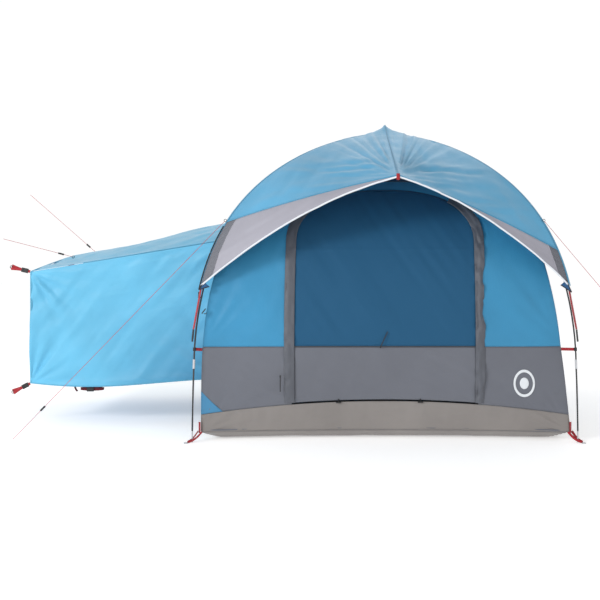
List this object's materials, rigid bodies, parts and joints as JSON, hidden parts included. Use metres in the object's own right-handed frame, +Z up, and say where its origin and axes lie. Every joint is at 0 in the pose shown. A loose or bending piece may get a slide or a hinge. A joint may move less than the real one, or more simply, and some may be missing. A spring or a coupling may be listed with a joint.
{
  "type": "tailgate dome tent",
  "caption": "Dome tent with two crossing poles, front visor and D shaped door, and a sleeve on its side wall that straps round the open tailgate of a car.",
  "frame": {"origin": "on the ground, under the crossing of the poles, at the middle of the groundsheet", "axes": "+Z up; the front door faces -Y; the sleeve leaves the left wall towards -X"},
  "size_m": [5.2222, 2.6944, 2.1878],
  "materials": {
    "pole_black": "satin",
    "ferrule_metal": "satin",
    "tip_steel": "satin",
    "elastic": "matte",
    "webbing_red": "matte",
    "buckle_black": "satin",
    "inner_blue": "satin",
    "inner_grey": "matte",
    "rim_taupe": "matte",
    "floor_grey": "matte",
    "mesh_dark": "matte",
    "flap_grey": "matte",
    "fly_blue": "satin",
    "trim_grey": "satin",
    "sleeve_blue": "satin",
    "guy_cord": "matte",
    "zip_black": "satin",
    "ring_steel": "polished"
  },
  "bodies": {
    "tent": {"pole_legs": "pole_black", "pole_sections": "pole_black", "pole_ferrules": "ferrule_metal", "pole_foot_tips": "tip_steel", "shock_cords": "elastic", "crossing_tie": "webbing_red", "brow_pole": "pole_black", "lantern_loop": "webbing_red", "floor_sheet": "floor_grey", "floor_rim": "rim_taupe", "front_band": "inner_grey", "front_wall": "inner_blue", "right_band": "inner_grey", "right_wall": "inner_blue", "back_band": "inner_grey", "back_wall": "inner_blue", "left_band": "inner_grey", "left_wall": "inner_blue", "roof_mesh": "mesh_dark", "door_zip": "zip_black", "storm_flaps": "flap_grey", "fly_right": "fly_blue", "fly_back": "fly_blue", "fly_left": "fly_blue", "visor_left": "fly_blue", "visor_right": "fly_blue", "visor_trim_left": "trim_grey", "visor_trim_right": "trim_grey", "sleeve_front": "sleeve_blue", "sleeve_back": "sleeve_blue", "sleeve_roof": "sleeve_blue", "sleeve_floor": "sleeve_blue", "corner_webbing": "webbing_red", "corner_rings": "ring_steel", "wall_clips": "buckle_black", "clip_tabs": "webbing_red", "fly_corner_straps": "webbing_red", "fly_corner_hooks": "buckle_black", "sleeve_tabs": "webbing_red", "sleeve_sockets": "buckle_black", "guy_loops": "buckle_black", "guy_front_left": "guy_cord", "guy_front_right": "guy_cord", "guy_sleeve_front": "guy_cord", "guy_sleeve_back": "guy_cord"},
    "door": {"door_lower": "inner_grey", "door_mesh": "mesh_dark"},
    "window_slider": {"window_slider": "zip_black"},
    "door_slider": {"door_slider": "zip_black"},
    "plug_top_front": {"sleeve_plug_top_front": "buckle_black"},
    "plug_top_back": {"sleeve_plug_top_back": "buckle_black"},
    "plug_low_front": {"sleeve_plug_low_front": "buckle_black"},
    "plug_low_back": {"sleeve_plug_low_back": "buckle_black"},
    "runner_front_left": {"runner_front_left": "buckle_black"},
    "runner_front_right": {"runner_front_right": "buckle_black"},
    "runner_sleeve_front": {"runner_sleeve_front": "buckle_black"},
    "runner_sleeve_back": {"runner_sleeve_back": "buckle_black"}
  },
  "joints": [
    {"name": "door_swing", "type": "hinge", "parent": "tent", "child": "door", "pos_m": [0.606, -1.19638, 0.28], "axis": [0, -0.1467, -0.9892], "range_deg": [0, 80]},
    {"name": "window_zip", "type": "slide", "parent": "door", "child": "window_slider", "axis": [1, 0, 0], "range_m": [-0.53, 0.52]},
    {"name": "door_zip_run", "type": "slide", "parent": "tent", "child": "door_slider", "axis": [0, 0.0544, 0.9985], "range_m": [0, 0.3]},
    {"name": "buckle_top_front", "type": "slide", "parent": "tent", "child": "plug_top_front", "axis": [-0.9724, 0, 0.2334], "range_m": [0, 0.036]},
    {"name": "buckle_top_back", "type": "slide", "parent": "tent", "child": "plug_top_back", "axis": [-0.9724, 0, 0.2334], "range_m": [0, 0.036]},
    {"name": "buckle_low_front", "type": "slide", "parent": "tent", "child": "plug_low_front", "axis": [-0.8944, 0, -0.4472], "range_m": [0, 0.036]},
    {"name": "buckle_low_back", "type": "slide", "parent": "tent", "child": "plug_low_back", "axis": [-0.8944, 0, -0.4472], "range_m": [0, 0.036]},
    {"name": "slide_front_left", "type": "slide", "parent": "tent", "child": "runner_front_left", "axis": [-0.6898, -0.0537, -0.722], "range_m": [-0.4, 0.15]},
    {"name": "slide_front_right", "type": "slide", "parent": "tent", "child": "runner_front_right", "axis": [0.6371, -0.0596, -0.7685], "range_m": [-0.4, 0.15]},
    {"name": "slide_sleeve_front", "type": "slide", "parent": "tent", "child": "runner_sleeve_front", "axis": [-0.8525, -0.4522, 0.2623], "range_m": [-0.03, 0.2]},
    {"name": "slide_sleeve_back", "type": "slide", "parent": "tent", "child": "runner_sleeve_back", "axis": [-0.7625, 0.2197, 0.6086], "range_m": [-0.03, 0.2]}
  ]
}
